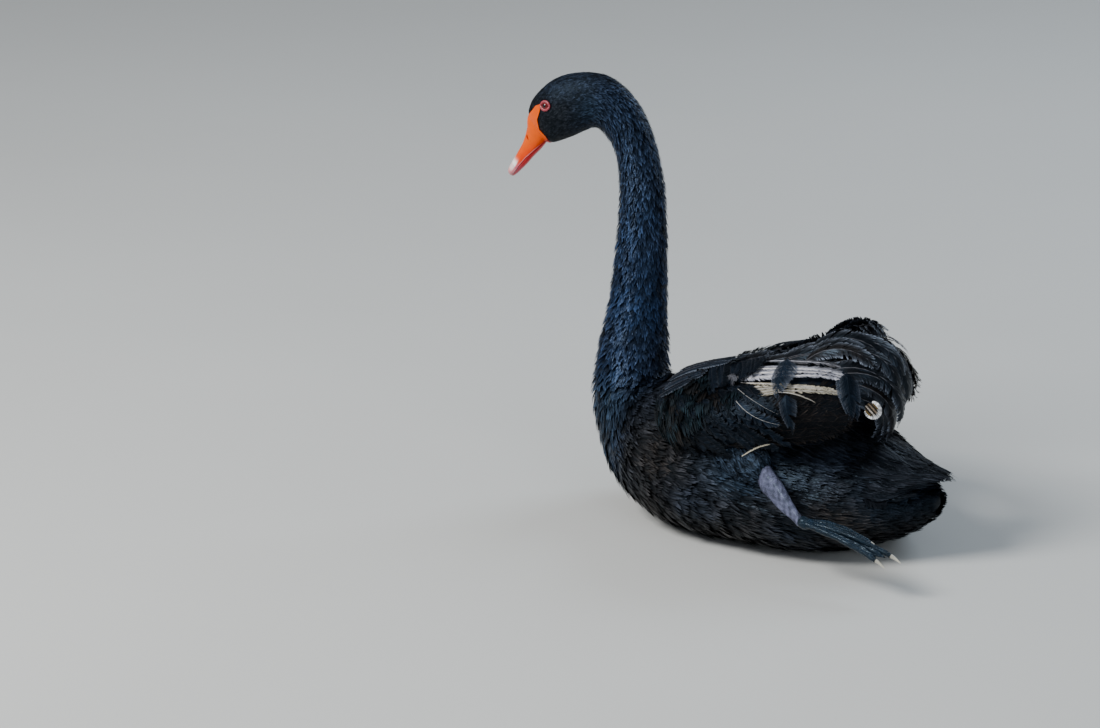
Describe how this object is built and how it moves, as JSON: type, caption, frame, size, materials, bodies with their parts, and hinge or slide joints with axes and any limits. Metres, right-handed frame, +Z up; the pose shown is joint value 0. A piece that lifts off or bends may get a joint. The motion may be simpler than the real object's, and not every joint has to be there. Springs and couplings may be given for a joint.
{
  "type": "black swan",
  "caption": "Life-size black swan afloat, neck upright and head turned, wings half raised with curled plumes, resting on its belly.",
  "frame": {"origin": "centre of the flat under the belly, on the floor that the swan sits on", "axes": "+Z up; the swan faces -X, its tail is at +X, its left side is -Y"},
  "size_m": [0.5888, 0.3298, 0.5197],
  "materials": {
    "body_feathers": "soft black contour feathers with a blue sheen",
    "wing_feathers": "brownish black vanes with a slight gloss, white flight feathers under them",
    "bill_red": "smooth waxy orange-red horn",
    "bill_pale": "smooth pale pink horn",
    "eye_red": "wet gloss",
    "lid_skin": "bare pink-red skin",
    "leg_skin": "wet scaly lavender-grey skin",
    "claw_horn": "dull pale horn"
  },
  "bodies": {
    "root": {"torso": "body_feathers", "neck_lower": "body_feathers", "neck_middle": "body_feathers", "neck_upper": "body_feathers", "nape": "body_feathers", "head": "body_feathers", "wing_left": "wing_feathers", "wing_right": "wing_feathers", "tail": "wing_feathers", "bill_upper": "bill_red", "bill_lower": "bill_red", "bill_nail": "bill_pale", "eye_left": "eye_red", "eye_right": "eye_red", "eyelid_left": "lid_skin", "eyelid_right": "lid_skin", "shank_left": "leg_skin", "shank_right": "leg_skin", "foot_left": "leg_skin", "foot_right": "leg_skin", "claw_middle_left": "claw_horn", "claw_outer_left": "claw_horn", "claw_inner_left": "claw_horn", "claw_middle_right": "claw_horn", "claw_outer_right": "claw_horn", "claw_inner_right": "claw_horn"}
  },
  "joints": []
}
